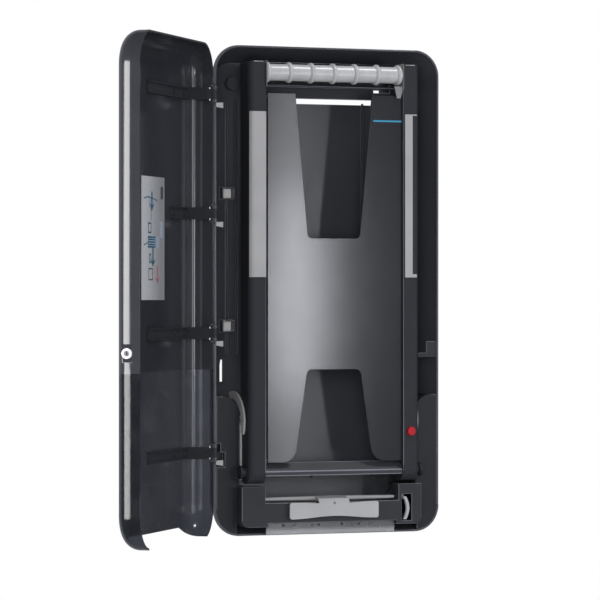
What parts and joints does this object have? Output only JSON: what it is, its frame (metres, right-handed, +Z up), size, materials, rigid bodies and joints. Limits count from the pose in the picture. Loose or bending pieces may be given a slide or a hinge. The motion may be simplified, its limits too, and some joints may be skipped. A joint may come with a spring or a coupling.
{
  "type": "wall-mounted paper towel dispenser",
  "caption": "Wall-mounted folded paper towel dispenser with a hinged locking cover swung open, a tilting towel carriage, a ribbed top roller and an outlet tongue.",
  "frame": {"origin": "centre of the back face, on the wall", "axes": "+X to the viewer's right, +Y into the wall, +Z up"},
  "size_m": [0.6244, 0.3524, 0.73],
  "materials": {
    "black_housing": "black moulded plastic with a satin gloss",
    "black_inner": "black moulded plastic, satin",
    "black_cover": "glossy black moulded plastic",
    "black_carriage": "dark grey-black moulded plastic, satin",
    "smoked_plastic": "smoked see-through plastic, glossy",
    "grey_panel": "dark grey plastic, semi-gloss with a broad soft highlight",
    "light_strip": "light grey plastic, matt",
    "roller_grey": "light grey plastic, satin",
    "clear_plastic": "clear plastic, slightly frosted",
    "steel": "bright steel",
    "lock_metal": "plated die-cast metal",
    "red_plastic": "red plastic",
    "blue_mark": "blue printed line",
    "label": "grey label stock with plain pictograms"
  },
  "bodies": {
    "housing": {"rear_housing": "black_housing", "pivot_block_left": "black_inner", "pivot_block_right": "black_inner", "stack_shelf": "black_inner", "outlet_housing": "black_inner", "outlet_lip": "clear_plastic", "lock_striker": "black_inner", "hinge_pins": "steel", "hinge_clips": "light_strip", "hole_plugs": "light_strip", "catch_strikers": "steel"},
    "cover": {"cover_shell": "black_cover", "cover_window": "smoked_plastic", "hinge_arm_1": "black_cover", "hinge_arm_2": "black_cover", "hinge_arm_3": "black_cover", "hinge_arm_4": "black_cover", "arm_screws": "steel", "instruction_label": "label", "lock_barrel": "lock_metal", "lock_nut": "lock_metal"},
    "lock": {"lock_plug": "lock_metal", "lock_cam": "steel", "cam_screw": "steel"},
    "carriage": {"left_rail": "black_carriage", "right_rail": "black_carriage", "front_panel": "grey_panel", "lower_crossbar": "black_carriage", "web_guide": "black_carriage", "left_rail_strip": "light_strip", "right_rail_strip": "light_strip", "left_roller_bracket": "roller_grey", "right_roller_bracket": "roller_grey", "roller_axle": "steel", "fill_mark": "blue_mark", "pivot_pins": "black_inner", "catch_pins": "steel", "button_spring": "steel"},
    "roller": {"top_roller": "roller_grey", "roller_bushes": "black_inner"},
    "left_catch": {"left_catch_lever": "light_strip"},
    "right_catch": {"right_catch_lever": "light_strip"},
    "button": {"release_button": "red_plastic"},
    "tongue": {"outlet_tongue": "roller_grey", "tongue_axle": "steel", "outlet_lever": "roller_grey"}
  },
  "joints": [
    {"name": "cover_hinge", "type": "hinge", "parent": "housing", "child": "cover", "pos_m": [-0.186, -0.0642, 0], "axis": [0, 0, -1], "range_deg": [-129, 0]},
    {"name": "lock_turn", "type": "hinge", "parent": "cover", "child": "lock", "pos_m": [-0.43467, -0.33919, -0.0885], "axis": [0.6293, 0.7771, 0], "range_deg": [0, 90]},
    {"name": "carriage_tilt", "type": "hinge", "parent": "housing", "child": "carriage", "pos_m": [0, -0.073, -0.27], "axis": [1, 0, 0], "range_deg": [0, 28]},
    {"name": "roller_spin", "type": "hinge", "parent": "carriage", "child": "roller", "pos_m": [0, -0.079, 0.325], "axis": [1, 0, 0], "continuous": true},
    {"name": "left_catch_turn", "type": "hinge", "parent": "carriage", "child": "left_catch", "pos_m": [-0.1425, -0.063, -0.193], "axis": [1, 0, 0], "range_deg": [0, 12], "stiffness_Nm_per_rad": 0.08, "springref_deg": -11.46},
    {"name": "right_catch_turn", "type": "hinge", "parent": "carriage", "child": "right_catch", "pos_m": [0.1425, -0.063, -0.193], "axis": [1, 0, 0], "range_deg": [0, 12], "stiffness_Nm_per_rad": 0.08, "springref_deg": -11.46},
    {"name": "button_press", "type": "slide", "parent": "carriage", "child": "button", "axis": [0, 1, 0], "range_m": [0, 0.004], "deforming": ["button_spring"]},
    {"name": "tongue_swing", "type": "hinge", "parent": "housing", "child": "tongue", "pos_m": [0, -0.069, -0.311], "axis": [-1, 0, 0], "range_deg": [0, 12]}
  ],
  "couplings": [
    {"joint": "button_press", "follows": "right_catch_turn", "m_per_rad": 0.019}
  ]
}
